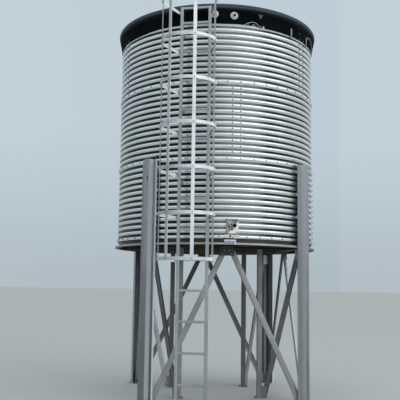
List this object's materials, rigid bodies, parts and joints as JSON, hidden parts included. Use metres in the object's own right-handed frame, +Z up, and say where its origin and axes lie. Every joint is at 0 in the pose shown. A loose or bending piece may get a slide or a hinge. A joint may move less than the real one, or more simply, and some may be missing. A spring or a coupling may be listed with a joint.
{
  "type": "grain silo",
  "caption": "Elevated round corrugated steel silo with a flat framed floor on braced posts, a dark folded rim, a low roof and a ladder in a safety cage.",
  "frame": {"origin": "on the ground, at the middle of the footprint's box; the silo's own axis stands a little behind it, at y = +0.414 m", "axes": "+Z up, -Y out from the silo through the middle of the ladder"},
  "size_m": [2.8936, 3.721, 5.3423],
  "materials": {
    "wall_steel": "galvanised, weathered bright",
    "frame_steel": "galvanised, dull",
    "ladder_steel": "galvanised",
    "underside_steel": "dirty",
    "dark_liner": "slightly glossy",
    "white_plastic": "plain"
  },
  "bodies": {
    "root": {"lower_wall_sheet_1": "wall_steel", "lower_wall_sheet_2": "wall_steel", "lower_wall_sheet_3": "wall_steel", "middle_wall_sheet_1": "wall_steel", "middle_wall_sheet_2": "wall_steel", "middle_wall_sheet_3": "wall_steel", "upper_wall_sheet_1": "wall_steel", "upper_wall_sheet_2": "wall_steel", "upper_wall_sheet_3": "wall_steel", "bottom_ring": "underside_steel", "floor_plate": "underside_steel", "rim_band": "dark_liner", "roof_cone": "dark_liner", "outlet_fitting": "frame_steel", "overflow_fitting_1": "white_plastic", "overflow_fitting_2": "white_plastic", "ring_splice_plate": "frame_steel", "floor_beam_front": "underside_steel", "floor_beam_back": "underside_steel", "floor_beam_inner_front": "underside_steel", "floor_beam_inner_back": "underside_steel", "floor_beam_right": "underside_steel", "floor_beam_left": "underside_steel", "outer_post_front_right": "frame_steel", "outer_post_back_right": "frame_steel", "outer_post_back_left": "frame_steel", "outer_post_front_left": "frame_steel", "inner_post_front_right": "frame_steel", "inner_post_back_right": "frame_steel", "inner_post_back_left": "frame_steel", "inner_post_front_left": "frame_steel", "brace_front_a": "frame_steel", "brace_front_b": "frame_steel", "brace_right_a": "frame_steel", "brace_right_b": "frame_steel", "brace_back_a": "frame_steel", "brace_back_b": "frame_steel", "brace_left_a": "frame_steel", "brace_left_b": "frame_steel", "diagonal_front_right": "frame_steel", "diagonal_back_right": "frame_steel", "diagonal_back_left": "frame_steel", "diagonal_front_left": "frame_steel", "ladder": "ladder_steel", "cage_hoop_1": "ladder_steel", "cage_hoop_2": "ladder_steel", "cage_hoop_3": "ladder_steel", "cage_hoop_4": "ladder_steel", "cage_hoop_5": "ladder_steel", "cage_hoop_6": "ladder_steel", "cage_hoop_7": "ladder_steel", "cage_bar_1": "ladder_steel", "cage_bar_2": "ladder_steel", "cage_bar_3": "ladder_steel", "cage_bar_4": "ladder_steel"}
  },
  "joints": []
}
